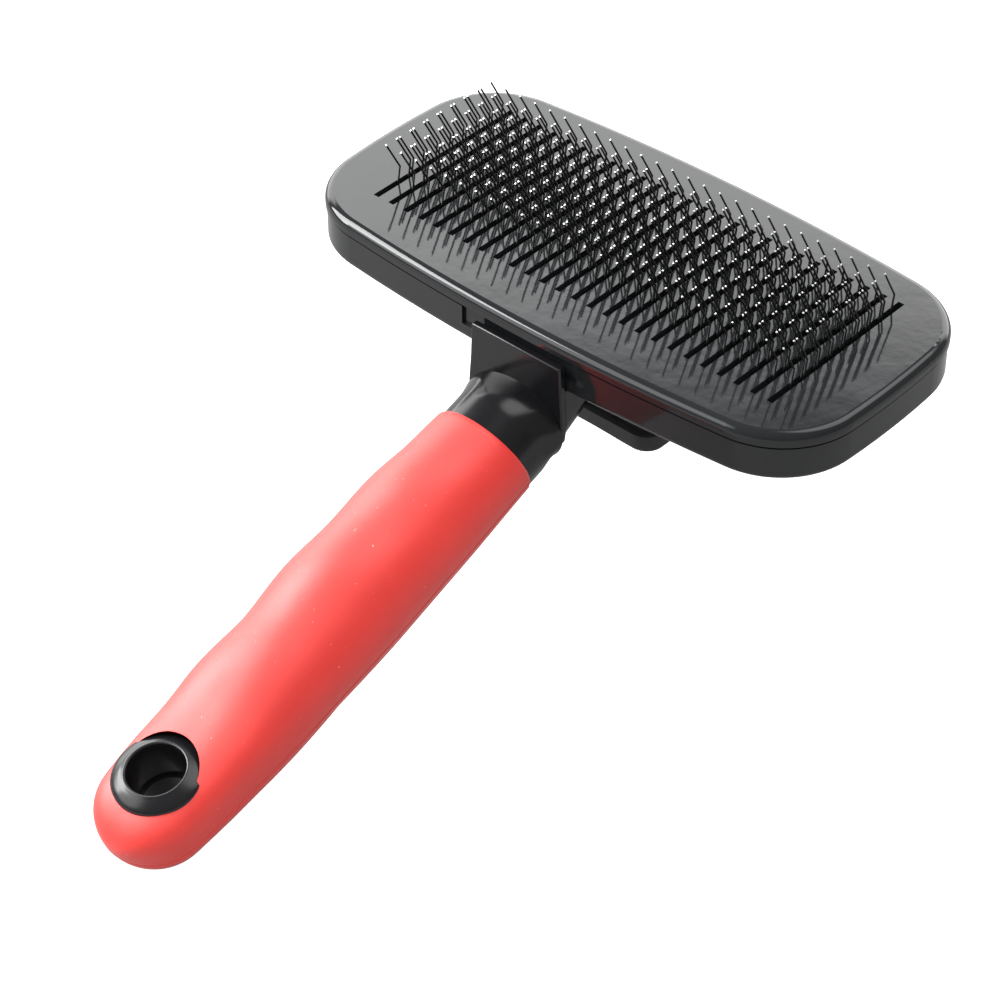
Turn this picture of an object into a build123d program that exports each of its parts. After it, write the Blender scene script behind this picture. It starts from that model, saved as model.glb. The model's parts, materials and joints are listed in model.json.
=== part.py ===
from build123d import *
import math
import os

# Self-cleaning slicker brush. Pressing the thumb button lifts the slotted
# front plate along the wire pins, which pushes the collected hair off them.
#
# Frame: origin at the centre of the front face, +Z out of the face (the way
# the pins stand), +X along the head, the handle leaves towards -Y and dips.
# All dimensions are in millimetres.

# --- Head outline: a bowed rectangle with rounded corners -------------------
HEAD_HALF_LENGTH = 65.0
HEAD_HALF_WIDTH = 32.5
LONG_SIDE_BOW = 4.1
SHORT_SIDE_BOW = 2.0
HEAD_CORNER_RADIUS = 18.5
HEAD_THICKNESS = 11.0

# --- Front plate (moves) ----------------------------------------------------
PLATE_THICKNESS = 1.6
SKIRT_DEPTH = 2.9
RIB_DEPTH = 5.0
SKIRT_WALL = 2.2
RIM_RADIUS = 1.9

# --- Back shell -------------------------------------------------------------
SEAM_GAP = 0.6
SHELL_INSET = 0.3
SHELL_WALL = 1.8
SHELL_EDGE_RADIUS = 1.5
FLOOR_TOP = -9.0
BACK_Z = -HEAD_THICKNESS

# --- Pin field: rows across the head, each row made of U-shaped wire staples -
ROW_COUNT = 26
ROW_PITCH = 4.0
STAPLES_PER_ROW = 8
STAPLE_PITCH = 4.0
STAPLE_SPAN = 3.1
FIRST_PIN_Y = -13.0
WIRE_RADIUS = 0.2
PIN_GROOVE_WIDTH = 0.6
KINK_HEIGHT = 3.6
KINK_LEAN = 0.6
TIP_HEIGHT = 10.5
TIP_LEAN = -3.2
SLOT_WIDTH = 1.4
SLOT_Y_MIN = -19.5
SLOT_Y_MAX = 21.5

# --- Pin plate and its backing sheet ----------------------------------------
PIN_PLATE_TOP = -4.5
PIN_PLATE_BOTTOM = -6.0
BACKING_TOP = -6.45
BACKING_BOTTOM = -7.1
PIN_PLATE_INSET = 5.4
PLATE_SCREW_X = 44.0
PLATE_SCREW_Y = 22.6

# --- Thumb button, its collar and the lift frame ----------------------------
COLLAR_HALF_X = 18.2
COLLAR_Y_MIN = -11.5
COLLAR_Y_MAX = 9.2
COLLAR_WALL = 1.6
COLLAR_RIM_Z = BACK_Z - 8.6
COLLAR_LIP = 2.1
PAD_HALF_X = 16.8
PAD_HALF_Y = 9.5
PAD_CENTRE_Y = -3.2
PAD_OUTER_Z = BACK_Z - 25.3
PAD_RIM_Z = BACK_Z - 20.9
PAD_ROOF_Z = BACK_Z - 21.9
PAD_DISH_RADIUS = 88.0
PAD_DISH_DEPTH = 1.3
STEM_HALF_X = 14.6
STEM_Y_MIN = -8.3
STEM_Y_MAX = 5.9
STEM_WALL = 1.5
LIFT_PLATE_BOTTOM = -20.5
LIFT_PLATE_TOP = -18.7
BLADE_THICKNESS = 1.8
BLADE_Y_MIN = -5.6
BLADE_Y_MAX = 3.4
BLADE_ROWS_X = (-4.0, 4.0)
BUTTON_SCREW_OFFSET = 3.3
SPRING_X = 10.2
SPRING_Y = -1.1
SPRING_RADIUS = 2.1
SPRING_WIRE_DIAMETER = 0.6
SPRING_SEAT_THICKNESS = 0.8

# --- Handle -----------------------------------------------------------------
NECK_Y = -40.0
NECK_Z = -23.8
NECK_RADIUS = 10.8
HANDLE_SLOPE_DEG = 18.9
GRIP_START = 2.5
GRIP_END_TILT_DEG = 4.5
GRIP_WALL = 2.6
HANG_HOLE_S = 95.0
HANG_HOLE_TILT_DEG = -5.0
FRONT_BORE_RADIUS = 5.7
BACK_BORE_RADIUS = 5.0
EYELET_TUBE_RADIUS = 6.7
EYELET_FLANGE_RADIUS = 8.9
EYELET_RIM_RADIUS = 6.5
EYELET_CONE_HEIGHT = 2.4
FRONT_RIM_HEIGHT = 9.9
BACK_RIM_HEIGHT = 7.6

# --- Bracket and arm that join the handle to the head -------------------------
BRACKET_HALF_X = 11.3
BRACKET_FLARE_HALF_X = 12.2
BRACKET_TOP_Z = -4.4
BRACKET_FLARE_Z = -20.0
BRACKET_BOTTOM_Z = -23.0
BRACKET_Y_OUT = -33.95
BRACKET_Y_IN = -32.3
SHOULDER_HALF_X = 12.1
SHOULDER_HALF_Z = 8.7
SHOULDER_Z = -20.9
ARM_END_Y = -14.0
ARM_END_WIDTH = 19.6
ARM_END_DEPTH = 12.4
ARM_ROOT_WIDTH = 22.0
ARM_ROOT_DEPTH = 20.6
ARM_ROOT_Z = -19.0

# --- Self-tapping screws ----------------------------------------------------
SCREW_RADIUS = 1.1
SCREW_HEAD_RADIUS = 2.2
SCREW_HEAD_HEIGHT = 1.3
SCREW_CLEARANCE = 0.05

os.makedirs("parts", exist_ok=True)


def block(x_min, x_max, y_min, y_max, z_min, z_max):
    """Axis-aligned block between two opposite corners."""
    size = (x_max - x_min, y_max - y_min, z_max - z_min)
    return Pos(x_min, y_min, z_min) * Box(*size, align=(Align.MIN, Align.MIN, Align.MIN))


def rod(x, y, z_min, z_max, radius):
    """Upright cylinder."""
    foot = (Align.CENTER, Align.CENTER, Align.MIN)
    return Pos(x, y, z_min) * Cylinder(radius, z_max - z_min, align=foot)


def head_slab(inset, z_min, z_max):
    """Slab with the head's outline, drawn in by inset."""
    half_x = HEAD_HALF_LENGTH - inset
    half_y = HEAD_HALF_WIDTH - inset
    corner_x = half_x - SHORT_SIDE_BOW
    corner_y = half_y - LONG_SIDE_BOW
    corners = [(sx * corner_x, sy * corner_y) for sx, sy in ((-1, -1), (1, -1), (1, 1), (-1, 1))]
    middles = ((0, -half_y), (half_x, 0), (0, half_y), (-half_x, 0))
    sides = [ThreePointArc(corners[i], middles[i], corners[(i + 1) % 4]) for i in range(4)]
    outline = make_face(Wire(sides))
    outline = fillet(outline.vertices(), HEAD_CORNER_RADIUS - inset)
    return Pos(0, 0, z_min) * extrude(outline, z_max - z_min)


def rounded_block(x_min, x_max, y_min, y_max, z_min, z_max, radius):
    """Block with rounded upright edges."""
    solid = block(x_min, x_max, y_min, y_max, z_min, z_max)
    return fillet(solid.edges().filter_by(Axis.Z), radius)


def save(shape, name, colour):
    """Write one node."""
    shape.label = name
    shape.color = Color(*colour)
    export_step(shape, f"parts/{name}.step")


BLACK = (0.05, 0.05, 0.055)
STEEL = (0.55, 0.55, 0.57)
RED = (0.85, 0.12, 0.1)

row_xs = [(i - (ROW_COUNT - 1) / 2) * ROW_PITCH for i in range(ROW_COUNT)]
staple_ys = [FIRST_PIN_Y + j * STAPLE_PITCH for j in range(STAPLES_PER_ROW)]

# --- Front plate ------------------------------------------------------------
front_plate = head_slab(0, -SKIRT_DEPTH, 0)
front_plate = fillet(front_plate.faces().sort_by(Axis.Z)[-1].edges(), RIM_RADIUS)
front_plate -= head_slab(SKIRT_WALL, -SKIRT_DEPTH - 1, -PLATE_THICKNESS)
# A locating rib that drops inside the back shell and centres the plate.
rib_inset = SHELL_INSET + SHELL_WALL + 0.3
front_plate += head_slab(rib_inset, -RIB_DEPTH, -PLATE_THICKNESS)
front_plate -= head_slab(rib_inset + 1.2, -RIB_DEPTH - 1, -PLATE_THICKNESS)
slot_length = SLOT_Y_MAX - SLOT_Y_MIN
slot_centre_y = (SLOT_Y_MAX + SLOT_Y_MIN) / 2
slots = [
    block(x - SLOT_WIDTH / 2, x + SLOT_WIDTH / 2, SLOT_Y_MIN, SLOT_Y_MAX, -PLATE_THICKNESS - 1, 1)
    for x in row_xs
]
front_plate -= slots
# Blind mortises in the underside take the blade tips of the lift frame.
MORTISE_DEPTH = 0.8
TENON_SHOULDER = 0.5
front_plate -= [
    block(x - 1.0, x + 1.0, BLADE_Y_MIN + 0.3, BLADE_Y_MAX - 0.3, -2, -PLATE_THICKNESS + MORTISE_DEPTH)
    for x in BLADE_ROWS_X
]
save(front_plate, "front_plate", BLACK)

# --- Back shell: an open tray under the front plate --------------------------
shell_top = -SKIRT_DEPTH - SEAM_GAP
back_shell = head_slab(SHELL_INSET, BACK_Z, shell_top)
back_shell = fillet(back_shell.faces().sort_by(Axis.Z)[0].edges(), SHELL_EDGE_RADIUS)
back_shell -= head_slab(SHELL_INSET + SHELL_WALL, FLOOR_TOP, 0)
# Raised lip round the opening of the button collar.
back_shell += rounded_block(
    -COLLAR_HALF_X - COLLAR_LIP,
    COLLAR_HALF_X + COLLAR_LIP,
    COLLAR_Y_MIN - COLLAR_LIP,
    COLLAR_Y_MAX + COLLAR_LIP,
    BACK_Z - 0.9,
    BACK_Z,
    3.0,
)
back_shell -= rounded_block(
    -COLLAR_HALF_X - 0.1,
    COLLAR_HALF_X + 0.1,
    COLLAR_Y_MIN - 0.1,
    COLLAR_Y_MAX + 0.1,
    BACK_Z - 2,
    FLOOR_TOP + 1,
    1.6,
)
# Posts that carry the pin plate, with pilot holes for its screws.
plate_screw_places = [
    (x, y) for x in (-PLATE_SCREW_X, 0.0, PLATE_SCREW_X) for y in (-PLATE_SCREW_Y, PLATE_SCREW_Y)
]
pilot_radius = SCREW_RADIUS + SCREW_CLEARANCE
PILOT_BOTTOM = -10.2
back_shell += [rod(x, y, FLOOR_TOP, BACKING_BOTTOM, 3.2) for x, y in plate_screw_places]
back_shell -= [rod(x, y, PILOT_BOTTOM, 0, pilot_radius) for x, y in plate_screw_places]
# Sunk panel in the handle-side wall with a window for the handle's hook.
PANEL_HALF_X = 15.5
PANEL_Y = -31.3
HOOK_HALF_X = 8.0
back_shell -= block(-PANEL_HALF_X, PANEL_HALF_X, -34, PANEL_Y, -7.6, -3)
back_shell -= block(-HOOK_HALF_X - 0.1, HOOK_HALF_X + 0.1, -34, -28, -8.95, -6.85)
# Clearance holes for the screws that hold the handle's arm.
arm_screw_places = [(-5.5, -20.0), (5.5, -20.0), (-5.5, -27.0), (5.5, -27.0)]
back_shell -= [rod(x, y, BACK_Z - 1, 0, pilot_radius) for x, y in arm_screw_places]
save(back_shell, "back_shell", BLACK)

# --- Button collar: a rectangular sleeve fixed in the back shell -------------
collar = rounded_block(-COLLAR_HALF_X, COLLAR_HALF_X, COLLAR_Y_MIN, COLLAR_Y_MAX, COLLAR_RIM_Z, FLOOR_TOP, 1.5)
# Narrow bead round the outer rim.
collar += rounded_block(
    -COLLAR_HALF_X - 0.35,
    COLLAR_HALF_X + 0.35,
    COLLAR_Y_MIN - 0.35,
    COLLAR_Y_MAX + 0.35,
    COLLAR_RIM_Z,
    COLLAR_RIM_Z + 0.9,
    1.8,
)
# Inner flange that rests on the shell floor.
collar += rounded_block(
    -COLLAR_HALF_X - 2,
    COLLAR_HALF_X + 2,
    COLLAR_Y_MIN - 2,
    COLLAR_Y_MAX + 2,
    FLOOR_TOP,
    FLOOR_TOP + 1.1,
    2.5,
)
collar_bore = rounded_block(
    -COLLAR_HALF_X + COLLAR_WALL,
    COLLAR_HALF_X - COLLAR_WALL,
    COLLAR_Y_MIN + COLLAR_WALL,
    COLLAR_Y_MAX - COLLAR_WALL,
    COLLAR_RIM_Z - 1,
    0,
    1.0,
)
collar -= collar_bore
save(collar, "button_collar", BLACK)


# --- Wire pins: U-shaped staples with kinked legs ----------------------------
def make_staple():
    """One staple in the YZ plane, its handle-side leg standing at y = 0."""
    crown_z = PIN_PLATE_BOTTOM - WIRE_RADIUS - 0.02
    leg = [(0.0, crown_z), (0.0, 0.0), (KINK_LEAN, KINK_HEIGHT), (TIP_LEAN, TIP_HEIGHT)]
    far_leg = [(y + STAPLE_SPAN, z) for y, z in leg]
    points = [(0, y, z) for y, z in list(reversed(leg)) + far_leg]
    path = Polyline(*points)
    start = Plane(origin=path @ 0, z_dir=path % 0)
    return sweep(start * Circle(WIRE_RADIUS), path=path, transition=Transition.RIGHT)


staple = make_staple()
row_groups = {
    "wire_pins_left_outer": row_xs[:7],
    "wire_pins_left_inner": row_xs[7:13],
    "wire_pins_right_inner": row_xs[13:19],
    "wire_pins_right_outer": row_xs[19:],
}
for name, xs in row_groups.items():
    staples = [Pos(x, y, 0) * staple for x in xs for y in staple_ys]
    save(Compound(children=staples), name, STEEL)

# --- Pin plate and backing sheet ---------------------------------------------
# One narrow groove per row grips the staples' legs.
groove_y_min = FIRST_PIN_Y - PIN_GROOVE_WIDTH
groove_y_max = staple_ys[-1] + STAPLE_SPAN + PIN_GROOVE_WIDTH
half_groove = PIN_GROOVE_WIDTH / 2
pin_grooves = [
    block(x - half_groove, x + half_groove, groove_y_min, groove_y_max, PIN_PLATE_BOTTOM - 1, PIN_PLATE_TOP + 1)
    for x in row_xs
]
blade_slits = [
    block(x - 1.15, x + 1.15, BLADE_Y_MIN - 0.3, BLADE_Y_MAX + 0.3, BACKING_BOTTOM - 1, 0)
    for x in BLADE_ROWS_X
]
plate_screw_holes = [rod(x, y, -12, 0, pilot_radius) for x, y in plate_screw_places]

pin_plate = head_slab(PIN_PLATE_INSET, PIN_PLATE_BOTTOM, PIN_PLATE_TOP)
pin_plate -= pin_grooves
pin_plate -= blade_slits + plate_screw_holes
save(pin_plate, "pin_plate", BLACK)

pin_backing = head_slab(PIN_PLATE_INSET, BACKING_BOTTOM, BACKING_TOP)
# A raised border closes the gap that the staple crowns leave.
pin_backing += head_slab(PIN_PLATE_INSET, BACKING_TOP, PIN_PLATE_BOTTOM) - head_slab(
    PIN_PLATE_INSET + 3.2, BACKING_TOP - 1, 0
)
pin_backing += [rod(x, y, BACKING_TOP, PIN_PLATE_BOTTOM, 3.0) for x, y in plate_screw_places]
pin_backing -= blade_slits + plate_screw_holes
save(pin_backing, "pin_backing", BLACK)


# --- Screws --------------------------------------------------------------------
def screw(x, y, seat_z, length):
    """Pan-head screw whose shank runs down from seat_z."""
    head = rod(x, y, seat_z, seat_z + SCREW_HEAD_HEIGHT, SCREW_HEAD_RADIUS)
    head = fillet(head.faces().sort_by(Axis.Z)[-1].edges(), 0.4)
    cross = block(-1.2, 1.2, -0.25, 0.25, seat_z + 0.6, seat_z + 2)
    cross += block(-0.25, 0.25, -1.2, 1.2, seat_z + 0.6, seat_z + 2)
    return head + rod(x, y, seat_z - length, seat_z, SCREW_RADIUS) - Pos(x, y, 0) * cross


plate_screws = [screw(x, y, PIN_PLATE_TOP, 5.6) for x, y in plate_screw_places]
save(Compound(children=plate_screws), "pin_plate_screws", STEEL)

arm_screws = [screw(x, y, FLOOR_TOP, 6.8) for x, y in arm_screw_places]
save(Compound(children=arm_screws), "handle_screws", STEEL)

# --- Lift frame: a plate in the collar with blades up to the front plate --------
lift_frame = rounded_block(
    -COLLAR_HALF_X + COLLAR_WALL + 0.3,
    COLLAR_HALF_X - COLLAR_WALL - 0.3,
    COLLAR_Y_MIN + COLLAR_WALL + 0.3,
    COLLAR_Y_MAX - COLLAR_WALL - 0.3,
    LIFT_PLATE_BOTTOM,
    LIFT_PLATE_TOP,
    1.0,
)
half_blade = BLADE_THICKNESS / 2
for x in BLADE_ROWS_X:
    x_min, x_max = x - half_blade, x + half_blade
    lift_frame += block(x_min, x_max, BLADE_Y_MIN, BLADE_Y_MAX, LIFT_PLATE_TOP, -PLATE_THICKNESS)
    lift_frame += block(
        x_min,
        x_max,
        BLADE_Y_MIN + TENON_SHOULDER,
        BLADE_Y_MAX - TENON_SHOULDER,
        -PLATE_THICKNESS,
        -PLATE_THICKNESS + MORTISE_DEPTH - 0.1,
    )
button_screw_places = [(0.0, SPRING_Y - BUTTON_SCREW_OFFSET), (0.0, SPRING_Y + BUTTON_SCREW_OFFSET)]
lift_frame -= [rod(x, y, -30, -15, pilot_radius) for x, y in button_screw_places]
lift_frame -= [rod(sign * SPRING_X, SPRING_Y, -30, -15, SPRING_RADIUS + 0.9) for sign in (-1, 1)]
save(lift_frame, "lift_frame", BLACK)

button_screws = [screw(x, y, LIFT_PLATE_TOP, 7.5) for x, y in button_screw_places]
save(Compound(children=button_screws), "button_screws", STEEL)

# --- Thumb button: dished pad on a hollow stem -----------------------------------
pad = block(
    -PAD_HALF_X,
    PAD_HALF_X,
    PAD_CENTRE_Y - PAD_HALF_Y,
    PAD_CENTRE_Y + PAD_HALF_Y,
    PAD_OUTER_Z,
    PAD_RIM_Z,
)
pad = fillet(pad.edges().filter_by(Axis.Z), 4.5)
pad = fillet(pad.faces().sort_by(Axis.Z)[0].edges(), 1.6)
dish_axis_z = PAD_OUTER_Z + PAD_DISH_DEPTH - PAD_DISH_RADIUS
pad -= Pos(0, PAD_CENTRE_Y, dish_axis_z) * Rot(90, 0, 0) * Cylinder(PAD_DISH_RADIUS, 60)
pad -= rounded_block(
    -PAD_HALF_X + 1.4,
    PAD_HALF_X - 1.4,
    PAD_CENTRE_Y - PAD_HALF_Y + 1.4,
    PAD_CENTRE_Y + PAD_HALF_Y - 1.4,
    PAD_ROOF_Z,
    PAD_RIM_Z + 1,
    3.0,
)
stem = rounded_block(-STEM_HALF_X, STEM_HALF_X, STEM_Y_MIN, STEM_Y_MAX, PAD_ROOF_Z - 1, LIFT_PLATE_BOTTOM, 1.2)
stem -= rounded_block(
    -STEM_HALF_X + STEM_WALL,
    STEM_HALF_X - STEM_WALL,
    STEM_Y_MIN + STEM_WALL,
    STEM_Y_MAX - STEM_WALL,
    PAD_ROOF_Z,
    LIFT_PLATE_BOTTOM + 1,
    0.8,
)
thumb_button = pad + stem
# Screw bosses and spring posts inside the stem.
thumb_button += [rod(x, y, PAD_ROOF_Z - 0.5, LIFT_PLATE_BOTTOM, 2.6) for x, y in button_screw_places]
thumb_button -= [rod(x, y, LIFT_PLATE_BOTTOM - 6.5, -15, pilot_radius) for x, y in button_screw_places]
thumb_button += [rod(sign * SPRING_X, SPRING_Y, PAD_ROOF_Z - 0.5, PAD_ROOF_Z + 2.5, 1.4) for sign in (-1, 1)]
# Two stiffening ribs down the handle-side face of the stem.
thumb_button += [
    block(x - 0.5, x + 0.5, STEM_Y_MIN - 1.2, STEM_Y_MIN + 0.5, PAD_ROOF_Z - 0.5, -24.0) for x in (-3.5, 3.5)
]
save(thumb_button, "thumb_button", BLACK)

# --- Return springs: pin backing to the inside of the pad -------------------------
# Each coil is stood in for by a plain sleeve of the coil's own diameter.
spring_top = BACKING_BOTTOM - SPRING_SEAT_THICKNESS
spring_outer = SPRING_RADIUS + SPRING_WIRE_DIAMETER / 2
spring_inner = SPRING_RADIUS - SPRING_WIRE_DIAMETER / 2
for name, sign in (("return_spring_left", -1), ("return_spring_right", 1)):
    sleeve = rod(sign * SPRING_X, SPRING_Y, PAD_ROOF_Z, spring_top, spring_outer)
    sleeve -= rod(sign * SPRING_X, SPRING_Y, PAD_ROOF_Z - 1, 0, spring_inner)
    save(sleeve, name, STEEL)

# Flanged cups under the backing sheet spread the springs' load.
spring_seats = []
for sign in (-1, 1):
    seat = rod(sign * SPRING_X, SPRING_Y, spring_top, BACKING_BOTTOM, 3.2)
    seat += rod(sign * SPRING_X, SPRING_Y, spring_top - 1.6, spring_top, 1.5)
    spring_seats.append(seat)
save(Compound(children=spring_seats), "spring_seats", STEEL)

# --- Handle ------------------------------------------------------------------------
slope = math.radians(HANDLE_SLOPE_DEG)
handle_plane = Plane(
    origin=(0, NECK_Y, NECK_Z),
    x_dir=(1, 0, 0),
    z_dir=(0, -math.sin(slope), math.cos(slope)),
)
to_handle = handle_plane.location

# Grip cross-sections from the neck to the tip: distance along the handle,
# half width, half depth and the bow of the centre line.
GRIP_SECTIONS = (
    (-6.0, 10.8, 10.7, -0.2),
    (8.0, 11.5, 11.5, 0.4),
    (20.0, 12.0, 12.4, 0.8),
    (32.0, 12.2, 12.9, 0.9),
    (46.0, 12.5, 13.1, 1.0),
    (60.0, 12.3, 12.3, 0.8),
    (74.0, 12.2, 10.7, 0.8),
    (86.0, 11.7, 9.0, 0.9),
    (95.0, 11.1, 8.0, 1.2),
    (101.5, 10.1, 7.2, 1.3),
    (106.0, 7.7, 5.6, 1.3),
    (108.6, 4.4, 3.3, 1.2),
    (109.4, 1.2, 1.0, 1.2),
)
GRIP_LENGTH = 109.4


def grip_loft(inset):
    """Smooth grip body in the handle's own frame, drawn in by inset."""
    shrink = (GRIP_LENGTH - inset) / GRIP_LENGTH
    sections = []
    for along, half_width, half_depth, bow in GRIP_SECTIONS:
        a = max(half_width - inset, 0.45)
        b = max(half_depth - inset, 0.4)
        place = Plane(origin=(0, -along * shrink, bow), x_dir=(1, 0, 0), z_dir=(0, -1, 0))
        sections.append(place * Ellipse(a, b))
    return loft(sections)


def grip_side(offset):
    """Everything beyond the grip's slanted top end, moved down the handle by offset."""
    tilted = Rot(GRIP_END_TILT_DEG, 0, 0) * block(-40, 40, -160, 0, -60, 60)
    return Pos(0, -GRIP_START - offset, 0) * tilted


hole_place = Pos(0, -HANG_HOLE_S, 0) * Rot(HANG_HOLE_TILT_DEG, 0, 0)


def hole_rod(radius, half_length=30.0):
    """Rod along the hang hole's axis, in the handle's own frame."""
    return hole_place * Cylinder(radius, half_length * 2)


grip_outer = grip_loft(0)
seat_radius = EYELET_FLANGE_RADIUS + 0.05
tube_hole = hole_rod(EYELET_TUBE_RADIUS + 0.1)
grip_sleeve = (grip_outer & grip_side(0)) - grip_loft(GRIP_WALL) - tube_hole
grip_sleeve -= hole_rod(seat_radius) - grip_loft(1.6)
save(to_handle * grip_sleeve, "grip_sleeve", RED)


# --- Eyelets: a flange that follows the grip, a conical rim and half of the tube ----
def make_eyelet(side, rim_height, bore_radius):
    """Eyelet in the handle's own frame; side is +1 on the pin side, -1 on the back."""
    flange = (hole_rod(EYELET_FLANGE_RADIUS) & grip_loft(-0.6)) - grip_loft(1.55)
    eyelet = flange + (hole_rod(EYELET_TUBE_RADIUS) & grip_loft(0.5))
    cone = Cone(EYELET_FLANGE_RADIUS - 0.2, EYELET_RIM_RADIUS, EYELET_CONE_HEIGHT)
    if side < 0:
        cone = Rot(180, 0, 0) * cone
    cone_middle = side * (rim_height - EYELET_CONE_HEIGHT / 2)
    rim = hole_place * (Pos(0, 0, cone_middle) * cone)
    eyelet += rim - grip_loft(1.55)
    z_low, z_high = sorted((side * 0.05, side * rim_height))
    eyelet &= hole_place * block(-30, 30, -30, 30, z_low, z_high)
    return eyelet - hole_rod(bore_radius)


save(to_handle * make_eyelet(1, FRONT_RIM_HEIGHT, FRONT_BORE_RADIUS), "eyelet_front", BLACK)
save(to_handle * make_eyelet(-1, BACK_RIM_HEIGHT, BACK_BORE_RADIUS), "eyelet_back", BLACK)

# --- Handle core: tang inside the grip, neck, shoulder, bracket plate and arm --------
FACING_Y = {"x_dir": (1, 0, 0), "z_dir": (0, -1, 0)}
neck_start = Plane(origin=(0, 6.0, 0), **FACING_Y)
neck = to_handle * (extrude(neck_start * Circle(NECK_RADIUS), 16) - grip_side(-0.05))
tang = to_handle * (grip_loft(GRIP_WALL + 0.3) - tube_hole)
shoulder_face = Plane(origin=(0, BRACKET_Y_OUT, SHOULDER_Z), **FACING_Y)
neck_face = Plane(origin=(0, 3.0, 0), **FACING_Y)
shoulder = loft([
    shoulder_face * Ellipse(SHOULDER_HALF_X, SHOULDER_HALF_Z),
    to_handle * (neck_face * Circle(NECK_RADIUS - 0.02)),
])
core = neck + tang
core += shoulder

bracket_side = [
    (BRACKET_HALF_X, BRACKET_TOP_Z),
    (BRACKET_FLARE_HALF_X, BRACKET_FLARE_Z),
    (BRACKET_FLARE_HALF_X, BRACKET_BOTTOM_Z),
]
bracket_outline = bracket_side + [(-x, z) for x, z in reversed(bracket_side)]
bracket = Plane(origin=(0, BRACKET_Y_IN, 0), **FACING_Y) * make_face(Polyline(*bracket_outline, close=True))
core += extrude(bracket, BRACKET_Y_IN - BRACKET_Y_OUT)

arm_end = Plane(origin=(0, ARM_END_Y, BACK_Z), **FACING_Y) * RectangleRounded(ARM_END_WIDTH, ARM_END_DEPTH, 5.5)
arm_root = Plane(origin=(0, BRACKET_Y_OUT, ARM_ROOT_Z), **FACING_Y) * RectangleRounded(
    ARM_ROOT_WIDTH, ARM_ROOT_DEPTH, 9.0
)
arm = loft([arm_end, arm_root])
arm -= block(-20, 20, BRACKET_Y_IN, 0, BACK_Z - 0.05, 0)
core += arm
core += block(-HOOK_HALF_X, HOOK_HALF_X, BRACKET_Y_IN - 0.5, -29.2, -8.8, -7.0)
core -= [rod(x, y, -16.6, -10, pilot_radius) for x, y in arm_screw_places]
save(core, "handle_core", BLACK)
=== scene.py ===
import json
import math

import bpy
import numpy as np
from mathutils import Matrix, Vector


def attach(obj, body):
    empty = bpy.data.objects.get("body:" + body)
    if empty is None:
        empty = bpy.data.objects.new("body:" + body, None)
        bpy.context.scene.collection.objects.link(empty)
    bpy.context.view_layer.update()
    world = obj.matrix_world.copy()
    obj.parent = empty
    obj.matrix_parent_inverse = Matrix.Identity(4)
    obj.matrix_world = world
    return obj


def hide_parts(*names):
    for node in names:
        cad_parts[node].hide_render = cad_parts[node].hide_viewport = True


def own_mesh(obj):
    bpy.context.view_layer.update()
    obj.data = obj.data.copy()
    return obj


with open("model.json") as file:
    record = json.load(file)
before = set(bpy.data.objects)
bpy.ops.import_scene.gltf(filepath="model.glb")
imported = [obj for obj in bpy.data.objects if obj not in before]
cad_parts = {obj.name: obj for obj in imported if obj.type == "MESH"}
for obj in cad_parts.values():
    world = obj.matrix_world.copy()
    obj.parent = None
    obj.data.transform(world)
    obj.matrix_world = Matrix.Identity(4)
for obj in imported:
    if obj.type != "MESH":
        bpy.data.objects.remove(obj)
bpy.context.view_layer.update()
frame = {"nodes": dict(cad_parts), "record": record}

MM = 0.001


# ---------------------------------------------------------------- material nodes
def new_material(name):
    """Empty node material; returns it with its node tree and principled node."""
    mat = bpy.data.materials.new(name)
    mat.use_nodes = True
    tree = mat.node_tree
    return mat, tree, tree.nodes["Principled BSDF"]


def position(tree):
    """Object-space position in millimetres."""
    coords = tree.nodes.new("ShaderNodeTexCoord")
    mapping = tree.nodes.new("ShaderNodeVectorMath")
    mapping.operation = "SCALE"
    mapping.inputs["Scale"].default_value = 1.0 / MM
    tree.links.new(coords.outputs["Object"], mapping.inputs[0])
    return mapping.outputs[0]


def noise(tree, vector, scale, detail=3.0, roughness=0.5):
    node = tree.nodes.new("ShaderNodeTexNoise")
    node.inputs["Scale"].default_value = scale
    node.inputs["Detail"].default_value = detail
    node.inputs["Roughness"].default_value = roughness
    tree.links.new(vector, node.inputs["Vector"])
    return node.outputs["Fac"]


def stretch(tree, vector, factors):
    """Vector with each axis multiplied by its own factor."""
    node = tree.nodes.new("ShaderNodeVectorMath")
    node.operation = "MULTIPLY"
    node.inputs[1].default_value = factors
    tree.links.new(vector, node.inputs[0])
    return node.outputs[0]


def ramp(tree, value, low, high, start=0.3, end=0.7):
    """Colour that runs from low at start to high at end."""
    node = tree.nodes.new("ShaderNodeValToRGB")
    first, last = node.color_ramp.elements
    first.position, last.position = start, end
    first.color = (*low, 1.0)
    last.color = (*high, 1.0)
    tree.links.new(value, node.inputs["Fac"])
    return node.outputs["Color"]


def mix_colours(tree, share, a, b):
    """Mix of socket a and plain colour b."""
    node = tree.nodes.new("ShaderNodeMix")
    node.data_type = "RGBA"
    tree.links.new(share, node.inputs["Factor"])
    tree.links.new(a, node.inputs["A"])
    node.inputs["B"].default_value = (*b, 1.0)
    return node.outputs["Result"]


def grey(v):
    return (v, v, v)


def scaled(colour, factor):
    return tuple(c * factor for c in colour)


def bump(tree, bsdf, height, strength, distance, chain=None):
    """Bump on the principled node, on top of an earlier bump when chain is given."""
    node = tree.nodes.new("ShaderNodeBump")
    node.inputs["Strength"].default_value = strength
    node.inputs["Distance"].default_value = distance
    tree.links.new(height, node.inputs["Height"])
    if chain is not None:
        tree.links.new(chain, node.inputs["Normal"])
    tree.links.new(node.outputs["Normal"], bsdf.inputs["Normal"])
    return node.outputs["Normal"]


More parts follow.
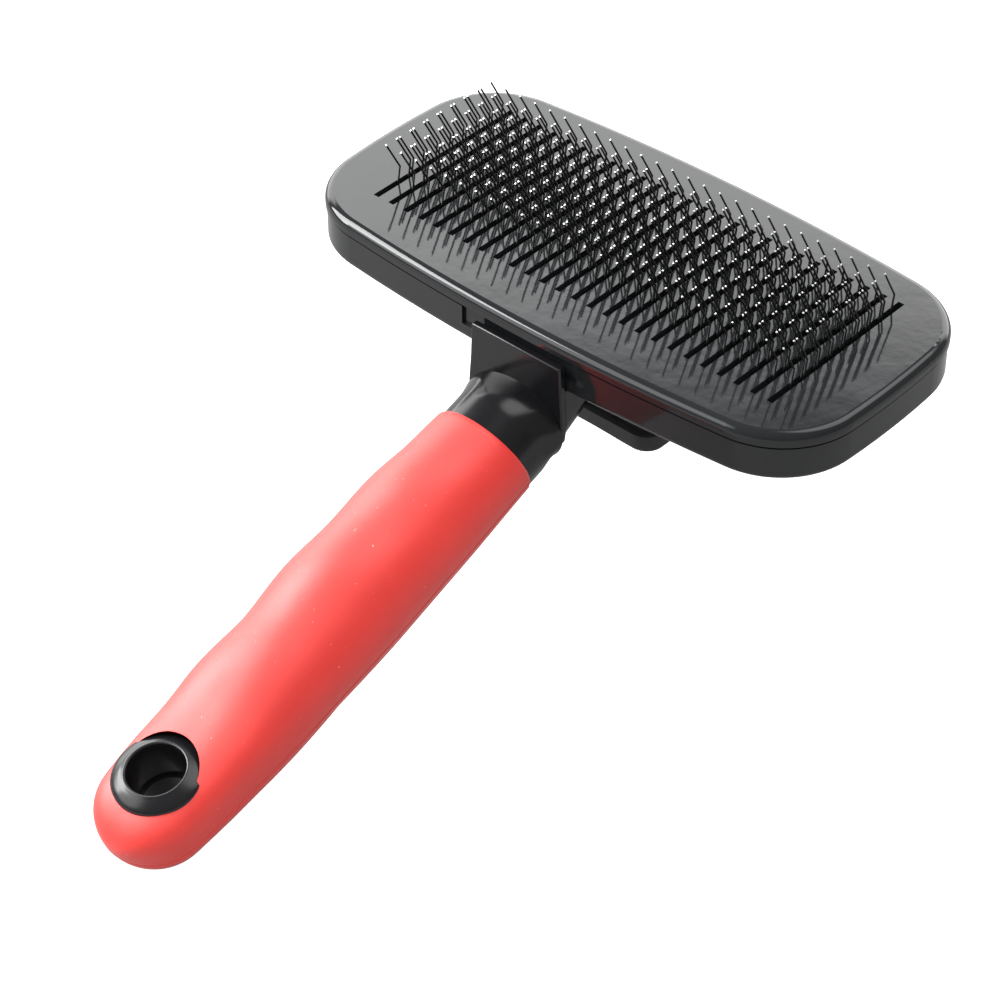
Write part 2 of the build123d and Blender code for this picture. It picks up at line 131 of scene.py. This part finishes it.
# ---------------------------------------------------------------- materials
def moulded_gloss(name, base, rough_low, rough_high, scratches=True):
    """Polished black moulding with faint flow marks, smudges and hairline scratches."""
    mat, tree, bsdf = new_material(name)
    p = position(tree)
    smudge = noise(tree, p, 0.06, 4.0, 0.6)
    tree.links.new(ramp(tree, smudge, grey(rough_low), grey(rough_high)), bsdf.inputs["Roughness"])
    tint = noise(tree, p, 0.03, 2.0)
    tree.links.new(ramp(tree, tint, scaled(base, 0.85), scaled(base, 1.15)), bsdf.inputs["Base Color"])
    normal = bump(tree, bsdf, noise(tree, p, 0.05, 2.0), 0.15, 0.0003)
    normal = bump(tree, bsdf, noise(tree, p, 0.4, 2.0), 0.4, 0.00002, normal)
    if scratches:
        lines = noise(tree, stretch(tree, p, (0.9, 0.06, 0.4)), 2.2, 3.0, 0.75)
        sharp = ramp(tree, lines, grey(0.0), grey(1.0), 0.66, 0.72)
        bump(tree, bsdf, sharp, 0.03, 0.00005, normal)
    bsdf.inputs["IOR"].default_value = 1.5
    return mat


def spark_texture(name, base, rough, size, depth):
    """Matte plastic with a fine eroded texture."""
    mat, tree, bsdf = new_material(name)
    p = position(tree)
    cells = tree.nodes.new("ShaderNodeTexVoronoi")
    cells.inputs["Scale"].default_value = size
    tree.links.new(p, cells.inputs["Vector"])
    normal = bump(tree, bsdf, cells.outputs["Distance"], 0.55, depth)
    bump(tree, bsdf, noise(tree, p, size * 1.6, 3.0), 0.4, depth, normal)
    tone = noise(tree, p, 0.15, 3.0)
    tree.links.new(ramp(tree, tone, scaled(base, 0.8), scaled(base, 1.25)), bsdf.inputs["Base Color"])
    bsdf.inputs["Roughness"].default_value = rough
    return mat


def soft_grip(name):
    """Soft satin elastomer with a very fine grain, dust specks and slight colour drift."""
    mat, tree, bsdf = new_material(name)
    p = position(tree)
    drift = noise(tree, p, 0.04, 3.0)
    body = ramp(tree, drift, (0.74, 0.022, 0.015), (0.82, 0.03, 0.02))
    specks = noise(tree, p, 1.1, 2.0, 0.4)
    dust = ramp(tree, specks, grey(0.0), grey(1.0), 0.74, 0.82)
    tree.links.new(mix_colours(tree, dust, body, (0.95, 0.35, 0.3)), bsdf.inputs["Base Color"])
    grain = noise(tree, p, 2.6, 4.0, 0.7)
    normal = bump(tree, bsdf, grain, 0.35, 0.00012)
    bump(tree, bsdf, noise(tree, p, 0.25, 2.0), 0.15, 0.0004, normal)
    tree.links.new(ramp(tree, grain, grey(0.42), grey(0.55)), bsdf.inputs["Roughness"])
    bsdf.inputs["Sheen Weight"].default_value = 0.22
    bsdf.inputs["Sheen Roughness"].default_value = 0.45
    bsdf.inputs["Sheen Tint"].default_value = (1.0, 0.8, 0.78, 1.0)
    bsdf.inputs["Specular IOR Level"].default_value = 0.9
    bsdf.inputs["Subsurface Weight"].default_value = 0.06
    bsdf.inputs["Subsurface Radius"].default_value = (0.002, 0.0005, 0.0004)
    return mat


def wire_steel(name):
    """Dark drawn wire with a painted glint: its cut tips, just below z 10.6 mm at rest, are coloured
    pale so they read as catching the light.
    """
    mat, tree, bsdf = new_material(name)
    p = position(tree)
    split = tree.nodes.new("ShaderNodeSeparateXYZ")
    tree.links.new(p, split.inputs[0])
    # Painted glint: the wire's colour turns pale from z 10.0 to 10.5 mm, at the tips.
    tip = tree.nodes.new("ShaderNodeMapRange")
    tip.inputs["From Min"].default_value = 10.0
    tip.inputs["From Max"].default_value = 10.5
    tree.links.new(split.outputs["Z"], tip.inputs["Value"])
    streak = noise(tree, stretch(tree, p, (8.0, 8.0, 0.6)), 1.0, 3.0)
    shaft = ramp(tree, streak, grey(0.10), grey(0.2))
    # Pale painted glint colour mixed over the dark shaft at the tips.
    colour = mix_colours(tree, tip.outputs["Result"], shaft, (0.75, 0.75, 0.78))
    tree.links.new(colour, bsdf.inputs["Base Color"])
    bsdf.inputs["Metallic"].default_value = 1.0
    bsdf.inputs["Roughness"].default_value = 0.32
    return mat


def plated_steel(name, base, rough):
    """Bright metal with a slightly uneven polish."""
    mat, tree, bsdf = new_material(name)
    p = position(tree)
    polish = ramp(tree, noise(tree, p, 1.5, 4.0), grey(rough * 0.7), grey(rough * 1.3))
    tree.links.new(polish, bsdf.inputs["Roughness"])
    bsdf.inputs["Base Color"].default_value = (*base, 1.0)
    bsdf.inputs["Metallic"].default_value = 1.0
    bump(tree, bsdf, noise(tree, p, 6.0, 2.0), 0.1, 0.00005)
    return mat


mats = {
    "head_plastic": moulded_gloss("head_plastic", (0.012, 0.013, 0.014), 0.05, 0.09),
    "inner_plastic": spark_texture("inner_plastic", (0.03, 0.03, 0.033), 0.5, 2.0, 0.00005),
    "pin_wire": wire_steel("pin_wire"),
    "screw_steel": plated_steel("screw_steel", (0.6, 0.6, 0.61), 0.3),
    "spring_steel": plated_steel("spring_steel", (0.55, 0.55, 0.57), 0.22),
    "button_plastic": spark_texture("button_plastic", (0.022, 0.023, 0.025), 0.5, 2.4, 0.0001),
    "grip_rubber": soft_grip("grip_rubber"),
    "eyelet_plastic": moulded_gloss("eyelet_plastic", (0.008, 0.008, 0.009), 0.2, 0.28, False),
    "handle_plastic": moulded_gloss("handle_plastic", (0.006, 0.006, 0.007), 0.14, 0.22, False),
}


# ---------------------------------------------------------------- mesh helpers
def smooth(obj, angle_deg):
    """Smooth shading that keeps edges sharper than angle_deg."""
    obj.data.shade_smooth()
    obj.data.set_sharp_from_angle(angle=math.radians(angle_deg))


def mesh_piece(name, verts_mm, faces, slot, angle_deg=40.0):
    """Mesh object on the brush body, from points in millimetres in the row frame."""
    mesh = bpy.data.meshes.new(name)
    mesh.from_pydata([tuple(float(c) * MM for c in v) for v in verts_mm], [], faces)
    mesh.validate()
    mesh.materials.append(mats[slot])
    obj = bpy.data.objects.new(name, mesh)
    bpy.context.scene.collection.objects.link(obj)
    smooth(obj, angle_deg)
    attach(obj, "brush")
    return obj


def ring_faces(rings, columns):
    """Quads between successive closed rings of points."""
    faces = []
    for r in range(rings - 1):
        for c in range(columns):
            a = r * columns + c
            b = r * columns + (c + 1) % columns
            faces.append((a, b, b + columns, a + columns))
    return faces


def flipped(faces):
    """The same quads, seen from their other side."""
    return [(a, d, c, b) for a, b, c, d in faces]


def turns(count):
    """Angles evenly round one turn."""
    return [2 * math.pi * c / count for c in range(count)]


def share_of(value, start, end):
    """How far value has come from start to end, held between 0 and 1."""
    return min(max((value - start) / (end - start), 0.0), 1.0)


slot_of = {s["node"]: s["material_slot"] for s in frame["record"]["subparts"]}
for node, obj in frame["nodes"].items():
    obj.data.materials.clear()
    obj.data.materials.append(mats[slot_of[node]])
    smooth(obj, 32.0)

# ---------------------------------------------------------------- grip
# The handle's own frame: NECK is its start, ALONG runs to the tip, UP to the pin side.
NECK = np.array([0.0, -40.0, -23.8])
SLOPE = math.radians(18.9)
ALONG = np.array([0.0, -math.cos(SLOPE), -math.sin(SLOPE)])
UP = np.array([0.0, -math.sin(SLOPE), math.cos(SLOPE)])
SIDE = np.array([1.0, 0.0, 0.0])
NECK_R = 10.8
GRIP_START = 2.5
GRIP_END_TILT = math.tan(math.radians(4.5))
GRIP_LENGTH = 109.4
END_ROUND = 10.5
MOULD_LINE_DEPTH = 0.25
MOULD_LINE_WIDTH = 0.3
MOULD_LINE_HEIGHT = -0.25
WAVE_HEIGHT = 0.33
WAVE_LENGTH = 24.0
EDGE_ROUND = 0.35
LIP_DEPTH = 1.2

# Distance along the handle, half width, half depth, bow of the centre line.
GRIP_TABLE = np.array([
    (-6.0, 10.8, 10.7, -0.2),
    (8.0, 11.5, 11.5, 0.4),
    (20.0, 12.0, 12.4, 0.8),
    (32.0, 12.2, 12.9, 0.9),
    (46.0, 12.5, 13.1, 1.0),
    (60.0, 12.3, 12.3, 0.8),
    (74.0, 12.2, 10.7, 0.8),
    (86.0, 11.7, 9.0, 0.9),
    (95.0, 11.3, 8.3, 1.2),
    (109.4, 10.2, 7.0, 1.2),
])


def spline(x, table):
    """Smooth interpolation of the table's columns at x."""
    xs = table[:, 0]
    slopes = np.gradient(table[:, 1:], xs, axis=0)
    i = np.clip(np.searchsorted(xs, x, side="right") - 1, 0, len(xs) - 2)
    h = xs[i + 1] - xs[i]
    t = (x - xs[i]) / h
    a, b = table[i, 1:], table[i + 1, 1:]
    slope_a, slope_b = slopes[i] * h, slopes[i + 1] * h
    return (
        (2 * t**3 - 3 * t**2 + 1) * a
        + (t**3 - 2 * t**2 + t) * slope_a
        + (-2 * t**3 + 3 * t**2) * b
        + (t**3 - t**2) * slope_b
    )


def grip_section(s):
    """Half width, half depth, centre height and squareness of the grip at distance s."""
    half_w, half_d, bow = spline(min(s, GRIP_LENGTH), GRIP_TABLE)
    left = max((GRIP_LENGTH - s) / END_ROUND, 0.0)
    dome = math.sqrt(max(1.0 - (1.0 - min(left, 1.0)) ** 2.2, 0.0))
    squareness = 2.0 + share_of(s, 60.0, 90.0)
    return half_w * dome, half_d * dome**0.9, bow, squareness


def finger_wave(s, x_share, up_share):
    """Gentle oblique finger waves on the pin side."""
    window = share_of(s, 4.0, 14.0) * (1.0 - share_of(s, 76.0, 88.0))
    side = max(up_share + 0.15, 0.0) / 1.15
    return WAVE_HEIGHT * window * side * math.cos(2 * math.pi * (s + 5.0 * x_share - 20.0) / WAVE_LENGTH)


def mould_line(x_share, up_share, half_d):
    """Fine groove along both sides of the grip, a little below the middle."""
    distance = (up_share - MOULD_LINE_HEIGHT) * half_d
    return MOULD_LINE_DEPTH * math.exp(-((distance / MOULD_LINE_WIDTH) ** 2)) * (abs(x_share) > 0.3)


def grip_point(s, phi, offset):
    """Grip surface point in the row frame; phi runs round from the +X side over the pin side."""
    half_w, half_d, bow, squareness = grip_section(s)
    c, n = math.cos(phi), math.sin(phi)
    k = (abs(c) ** squareness + abs(n) ** squareness) ** (-1.0 / squareness)
    swell = finger_wave(s, c, n) - mould_line(c * k, n * k, half_d) + offset
    return NECK + SIDE * ((half_w + swell) * c * k) + UP * (bow + (half_d + swell) * n * k) + ALONG * s


def grip_height(x, s, sign):
    """Height of the grip over the handle's centre line, on the pin (+1) or back (-1) side."""
    half_w, half_d, bow, squareness = grip_section(s)
    share = min(abs(x) / half_w, 0.999)
    return bow + sign * half_d * (1.0 - share**squareness) ** (1.0 / squareness)


def build_grip():
    """Grip from its slanted open end to its domed tip, with a lip turned in at the open end."""
    columns, rings = 360, 220
    angles = turns(columns)
    starts = [GRIP_START + NECK_R * math.sin(phi) * GRIP_END_TILT for phi in angles]
    verts = []
    for r in range(rings):
        # Rings crowd together towards the tip.
        u = 1.0 - (1.0 - r / (rings - 1)) ** 1.35
        for phi, start in zip(angles, starts):
            s = start + u * (GRIP_LENGTH - 0.0005 - start)
            edge = -EDGE_ROUND * max(1.0 - (s - start) / 0.5, 0.0) ** 2
            verts.append(grip_point(s, phi, edge))
    faces = flipped(ring_faces(rings, columns))
    first = len(verts)
    verts += [grip_point(start + 0.1, phi, -LIP_DEPTH) for phi, start in zip(angles, starts)]
    for c in range(columns):
        after = (c + 1) % columns
        faces.append((c, after, first + after, first + c))
    obj = mesh_piece("grip_surface", verts, faces, "grip_rubber", angle_deg=60)
    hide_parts("grip_sleeve")
    return obj


grip = build_grip()

# ---------------------------------------------------------------- hang hole and its eyelets
HOLE_S = 95.0
HOLE_TILT = math.radians(-5.0)
HOLE_CENTRE = NECK + ALONG * HOLE_S
HOLE_UP = UP * math.cos(HOLE_TILT) + ALONG * math.sin(HOLE_TILT)
HOLE_ALONG = ALONG * math.cos(HOLE_TILT) - UP * math.sin(HOLE_TILT)
GRIP_OPENING_R = 8.2
FLANGE_R = 8.9
FRONT_BORE_R = 5.7
BACK_BORE_R = 5.0
FRONT_RIM = 9.9
BACK_RIM = 7.6


def surface_height(x, along, sign):
    """Height of the grip surface over the hole's centre plane, by stepping to the surface."""
    height = sign * 7.5
    for _ in range(6):
        point = HOLE_CENTRE + SIDE * x + HOLE_ALONG * along + HOLE_UP * height
        d = point - NECK
        s, up = d @ ALONG, d @ UP
        height += (grip_height(x, s, sign) - up) / math.cos(HOLE_TILT)
    return height


def eyelet(name, node, sign, rim, bore):
    """Conical ring with a rolled inner rim; its foot follows the grip's surface."""
    angles = turns(128)
    # Radius, drop below the rim, and how far that drop yields to the grip's own surface.
    profile = [
        (FLANGE_R + 0.02, 2.8, 1.0),
        (FLANGE_R + 0.02, 1.4, 0.25),
        (FLANGE_R - 0.06, 1.24, 0.2),
        (FLANGE_R - 0.4, 1.05, 0.1),
        (FLANGE_R - 1.0, 0.75, 0.0),
        (FLANGE_R - 1.7, 0.42, 0.0),
        (bore + 1.1, 0.2, 0.0),
        (bore + 0.8, 0.14, 0.0),
        (bore + 0.66, 0.02, 0.0),
        (bore + 0.4, -0.06, 0.0),
        (bore + 0.16, 0.0, 0.0),
        (bore + 0.03, 0.14, 0.0),
        (bore, 0.4, 0.0),
        (bore, 2.5, 0.0),
        (bore, rim - 0.05, 0.0),
    ]
    verts = []
    for radius, drop, follow in profile:
        for a in angles:
            x, along = radius * math.cos(a), radius * math.sin(a)
            height = rim - drop
            if follow > 0:
                foot = sign * surface_height(x, along, sign) - 0.35
                height += follow * min(foot - height, 0.0)
            verts.append(HOLE_CENTRE + SIDE * x + HOLE_ALONG * along + HOLE_UP * sign * height)
    if sign < 0:
        # The narrower back half shows a step below the front half's wall.
        step_r = FRONT_BORE_R + 0.9
        for a in angles:
            x, along = step_r * math.cos(a), step_r * math.sin(a)
            verts.append(HOLE_CENTRE + SIDE * x + HOLE_ALONG * along - HOLE_UP * 0.05)
    faces = ring_faces(len(verts) // len(angles), len(angles))
    if sign > 0:
        faces = flipped(faces)
    obj = mesh_piece(name, verts, faces, "eyelet_plastic", angle_deg=50)
    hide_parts(node)


def cut_hole(obj, radius):
    """Opens the hang hole through a mesh."""
    bpy.ops.mesh.primitive_cylinder_add(vertices=96, radius=radius * MM, depth=0.06)
    cutter = bpy.context.object
    axes = Matrix((SIDE, -HOLE_ALONG, HOLE_UP)).transposed().to_4x4()
    cutter.matrix_world = Matrix.Translation(Vector(HOLE_CENTRE * MM)) @ axes
    modifier = obj.modifiers.new("hang_hole", "BOOLEAN")
    modifier.object = cutter
    modifier.solver = "EXACT"
    bpy.context.view_layer.objects.active = obj
    bpy.ops.object.modifier_apply(modifier="hang_hole")
    bpy.data.objects.remove(cutter)
    smooth(obj, 60)


eyelet("eyelet_ring_front", "eyelet_front", 1, FRONT_RIM, FRONT_BORE_R)
eyelet("eyelet_ring_back", "eyelet_back", -1, BACK_RIM, BACK_BORE_R)
cut_hole(grip, GRIP_OPENING_R)

# ---------------------------------------------------------------- neck, bracket and arm
PLATE_Y_OUT = -33.95
PLATE_Y_IN = -32.3
SHOULDER_Z = -20.9
SHOULDER_HALF = (12.1, 8.7)
DOME_END_S = -1.5
DOME_PULL = 7.0
NECK_STEPS = (-0.5, 0.5, 2.0, 4.0, 6.0)
ARM_END_Y = -14.0
ARM_LENGTH = 19.8
ARM_TOP_Z = -11.05


def build_neck():
    """Dome from the bracket plate into the round neck, then the neck up to under the grip."""
    angles = turns(96)
    leave_share = np.array([-0.1, -1.0, -0.15])
    verts = []
    for t in np.linspace(0.0, 1.0, 28):
        h00, h10 = 2 * t**3 - 3 * t**2 + 1, t**3 - 2 * t**2 + t
        h01, h11 = 3 * t**2 - 2 * t**3, t**3 - t**2
        for phi in angles:
            x, n = math.cos(phi), math.sin(phi)
            foot = np.array([SHOULDER_HALF[0] * x, PLATE_Y_OUT + 0.3, SHOULDER_Z + SHOULDER_HALF[1] * n])
            end = NECK + (SIDE * x + UP * n) * NECK_R + ALONG * DOME_END_S
            leave = leave_share * (x, 1.0, n) * DOME_PULL
            verts.append(h00 * foot + h10 * leave + h01 * end + h11 * ALONG * DOME_PULL)
    for s in NECK_STEPS:
        for phi in angles:
            verts.append(NECK + (SIDE * math.cos(phi) + UP * math.sin(phi)) * NECK_R + ALONG * s)
    faces = flipped(ring_faces(len(verts) // len(angles), len(angles)))
    return mesh_piece("neck_dome", verts, faces, "handle_plastic", angle_deg=60)


def build_bracket():
    """Upright plate against the shell's wall, with softened edges."""
    side = [(11.3, -4.4), (11.6, -12.0), (12.1, -18.5), (11.6, -22.5)]
    outline = [(-x, z) for x, z in side] + side[::-1]
    count = len(outline)
    verts = [(x, y, z) for y in (PLATE_Y_OUT, PLATE_Y_IN) for x, z in outline]
    faces = [tuple(range(count)), tuple(reversed(range(count, 2 * count)))]
    for i in range(count):
        j = (i + 1) % count
        faces.append((j, i, i + count, j + count))
    obj = mesh_piece("bracket_plate", verts, faces, "handle_plastic", angle_deg=35)
    modifier = obj.modifiers.new("soft_edges", "BEVEL")
    modifier.width = 0.35 * MM
    modifier.segments = 3
    modifier.limit_method = "ANGLE"
    return obj


def arm_section(share):
    """U-shaped outline of the arm, from its thin end (share 0) to its root (share 1)."""
    y = ARM_END_Y - ARM_LENGTH * share
    half_x = 9.8 + 1.2 * share
    bottom = -17.2 - 12.1 * share
    radius = 5.5 + 3.5 * share
    points = [(-half_x, ARM_TOP_Z), (-half_x, (ARM_TOP_Z + bottom + radius) / 2)]
    for k in range(9):
        a = math.pi + k * math.pi / 16
        points.append((-half_x + radius + radius * math.cos(a), bottom + radius + radius * math.sin(a)))
    points += [(-x, z) for x, z in reversed(points)]
    return [(x, y, z) for x, z in points]


def build_arm():
    sections = [arm_section(share) for share in (0.0, 0.25, 0.5, 0.75, 1.0)]
    columns = len(sections[0])
    verts = [p for section in sections for p in section]
    faces = flipped(ring_faces(len(sections), columns))
    faces.append(tuple(range(columns)))
    faces.append(tuple(reversed(range(len(verts) - columns, len(verts)))))
    return mesh_piece("arm", verts, faces, "handle_plastic", angle_deg=35)


for piece in (build_neck(), build_bracket(), build_arm()):
    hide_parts("handle_core")

# ---------------------------------------------------------------- return springs
SPRING_X = 10.2
SPRING_Y = -1.1
SPRING_TOP_Z = -7.9
SPRING_LENGTH = 25.0
SPRING_TURNS = 10.0
SPRING_R = 2.1
WIRE_R = 0.3
# Rise of each closed end turn.
END_RISE = 0.5


def coil(name, node, x):
    """Compression spring with closed ends, standing under the backing sheet."""
    per_turn, around = 36, 10
    count = int(SPRING_TURNS * per_turn) + 1
    verts = []
    for i in range(count):
        t = i / (count - 1)
        a = 2 * math.pi * SPRING_TURNS * t
        open_rise = share_of(t, 0.1, 0.9) * (SPRING_LENGTH - 2 * WIRE_R - 2 * END_RISE)
        end_rise = END_RISE * (min(t, 0.1) + max(t - 0.9, 0.0)) / 0.1
        z = SPRING_TOP_Z - WIRE_R - open_rise - end_rise
        centre = np.array([x + SPRING_R * math.cos(a), SPRING_Y + SPRING_R * math.sin(a), z])
        out = np.array([math.cos(a), math.sin(a), 0.0])
        for b in turns(around):
            verts.append(centre + out * WIRE_R * math.cos(b) + np.array([0, 0, WIRE_R * math.sin(b)]))
    faces = ring_faces(count, around)
    faces.append(tuple(reversed(range(around))))
    faces.append(tuple(range(len(verts) - around, len(verts))))
    obj = mesh_piece(name, verts, faces, "spring_steel", angle_deg=60)
    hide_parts(node)
    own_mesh(obj)


coil("return_coil_left", "return_spring_left", -SPRING_X)
coil("return_coil_right", "return_spring_right", SPRING_X)

# ---------------------------------------------------------------- floor, lights, camera
FLOOR_Z = -0.0665
# Softbox and fills: name, place, size, power and whether surfaces mirror it.
LIGHTS = [
    ("softbox_left", (-0.75, -0.35, 0.5), (0.5, 0.7), 14.0, True),
    ("fill_above", (0.3, -0.5, 1.5), (2.6, 2.6), 36.0, False),
    ("fill_right", (1.2, -0.8, 0.5), (1.2, 1.2), 0.8, False),
]
LIGHT_TARGET = Vector((0, -0.06, -0.02))
ROOM_STRENGTH = 0.25
CARD_STRENGTH = 3.6
CARD_TOWARD = (-0.62, 0.78, 0.0)
# Soft round patches of light: direction, cosines of the bright and the dark edge, strength.
PATCHES = [
    ((-0.56, -0.62, 0.55), 0.97, 0.9, 3.0),
    ((0.16, 0.48, 0.86), 0.97, 0.9, 2.4),
]
CAMERA_PLACE = (0.33187, -0.41, 0.37738)
CAMERA_AZIMUTH = math.radians(41.755)
CAMERA_ELEVATION = math.radians(39.938)
CAMERA_LENS = 118.74


def paper_floor():
    """Pale paper to the camera, and a grey card to the reflections in the brush."""
    bpy.ops.mesh.primitive_plane_add(size=6.0, location=(0, 0, FLOOR_Z))
    floor = bpy.context.object
    floor.name = "floor"
    mat, tree, bsdf = new_material("floor_paper")
    bsdf.inputs["Base Color"].default_value = (*grey(0.5), 1)
    bsdf.inputs["Roughness"].default_value = 0.9
    bump(tree, bsdf, noise(tree, position(tree), 0.4, 3.0), 0.02, 0.0002)
    glow = tree.nodes.new("ShaderNodeEmission")
    glow.inputs["Strength"].default_value = 0.9
    lit = tree.nodes.new("ShaderNodeAddShader")
    tree.links.new(bsdf.outputs[0], lit.inputs[0])
    tree.links.new(glow.outputs[0], lit.inputs[1])
    card = tree.nodes.new("ShaderNodeBsdfDiffuse")
    card.inputs["Color"].default_value = (*grey(0.28), 1)
    seen_by = tree.nodes.new("ShaderNodeLightPath")
    choose = tree.nodes.new("ShaderNodeMixShader")
    tree.links.new(seen_by.outputs["Is Camera Ray"], choose.inputs["Fac"])
    tree.links.new(card.outputs[0], choose.inputs[1])
    tree.links.new(lit.outputs[0], choose.inputs[2])
    tree.links.new(choose.outputs[0], tree.nodes["Material Output"].inputs["Surface"])
    floor.data.materials.append(mat)


def studio_world():
    """Grey room with a bright card behind on the left and soft round patches of light."""
    world = bpy.data.worlds.new("studio")
    bpy.context.scene.world = world
    world.use_nodes = True
    tree = world.node_tree
    coords = tree.nodes.new("ShaderNodeTexCoord")

    def toward(direction):
        """Cosine between the looked-at direction and this one."""
        dot = tree.nodes.new("ShaderNodeVectorMath")
        dot.operation = "DOT_PRODUCT"
        dot.inputs[1].default_value = Vector(direction).normalized()
        tree.links.new(coords.outputs["Generated"], dot.inputs[0])
        return dot.outputs["Value"]

    def fade(value, dark, bright, strength=1.0):
        """Strength where value reaches bright, falling smoothly to nothing at dark."""
        node = tree.nodes.new("ShaderNodeMapRange")
        node.interpolation_type = "SMOOTHSTEP"
        node.inputs["From Min"].default_value = dark
        node.inputs["From Max"].default_value = bright
        node.inputs["To Max"].default_value = strength
        tree.links.new(value, node.inputs["Value"])
        return node.outputs["Result"]

    def join(operation, a, b):
        node = tree.nodes.new("ShaderNodeMath")
        node.operation = operation
        tree.links.new(a, node.inputs[0])
        tree.links.new(b, node.inputs[1])
        return node.outputs[0]

    card_top = fade(toward((0, 0, -1)), -0.63, -0.575)
    card_sides = fade(toward(CARD_TOWARD), 0.55, 0.70, CARD_STRENGTH)
    total = join("MULTIPLY", card_top, card_sides)
    for direction, bright, dark, strength in PATCHES:
        total = join("ADD", total, fade(toward(direction), dark, bright, strength))
    room = tree.nodes.new("ShaderNodeValue")
    room.outputs[0].default_value = ROOM_STRENGTH
    total = join("ADD", total, room.outputs[0])
    tree.links.new(total, tree.nodes["Background"].inputs["Strength"])
    tree.nodes["Background"].inputs["Color"].default_value = (1, 1, 1, 1)


def area_light(name, place, size, power, mirrored):
    """Rectangular light aimed at the brush; an unmirrored one only brightens matte surfaces."""
    light = bpy.data.lights.new(name, "AREA")
    light.shape = "RECTANGLE"
    light.size, light.size_y = size
    light.energy = power
    obj = bpy.data.objects.new(name, light)
    obj.location = place
    obj.rotation_mode = "QUATERNION"
    obj.rotation_quaternion = (LIGHT_TARGET - Vector(place)).to_track_quat("-Z", "Y")
    obj.visible_glossy = mirrored
    bpy.context.scene.collection.objects.link(obj)


def add_camera():
    """Camera at the angle the brush is shown from."""
    data = bpy.data.cameras.new("camera")
    data.sensor_width = 36.0
    data.lens = CAMERA_LENS
    data.clip_start = 0.01
    camera = bpy.data.objects.new("camera", data)
    bpy.context.scene.collection.objects.link(camera)
    back = Vector((
        math.sin(CAMERA_AZIMUTH) * math.cos(CAMERA_ELEVATION),
        -math.cos(CAMERA_AZIMUTH) * math.cos(CAMERA_ELEVATION),
        math.sin(CAMERA_ELEVATION),
    ))
    camera.location = CAMERA_PLACE
    camera.rotation_mode = "QUATERNION"
    camera.rotation_quaternion = (-back).to_track_quat("-Z", "Y")
    bpy.context.scene.camera = camera


paper_floor()
studio_world()
for settings in LIGHTS:
    area_light(*settings)
add_camera()
bpy.context.scene.view_settings.view_transform = "Standard"
bpy.context.scene.view_settings.look = "None"
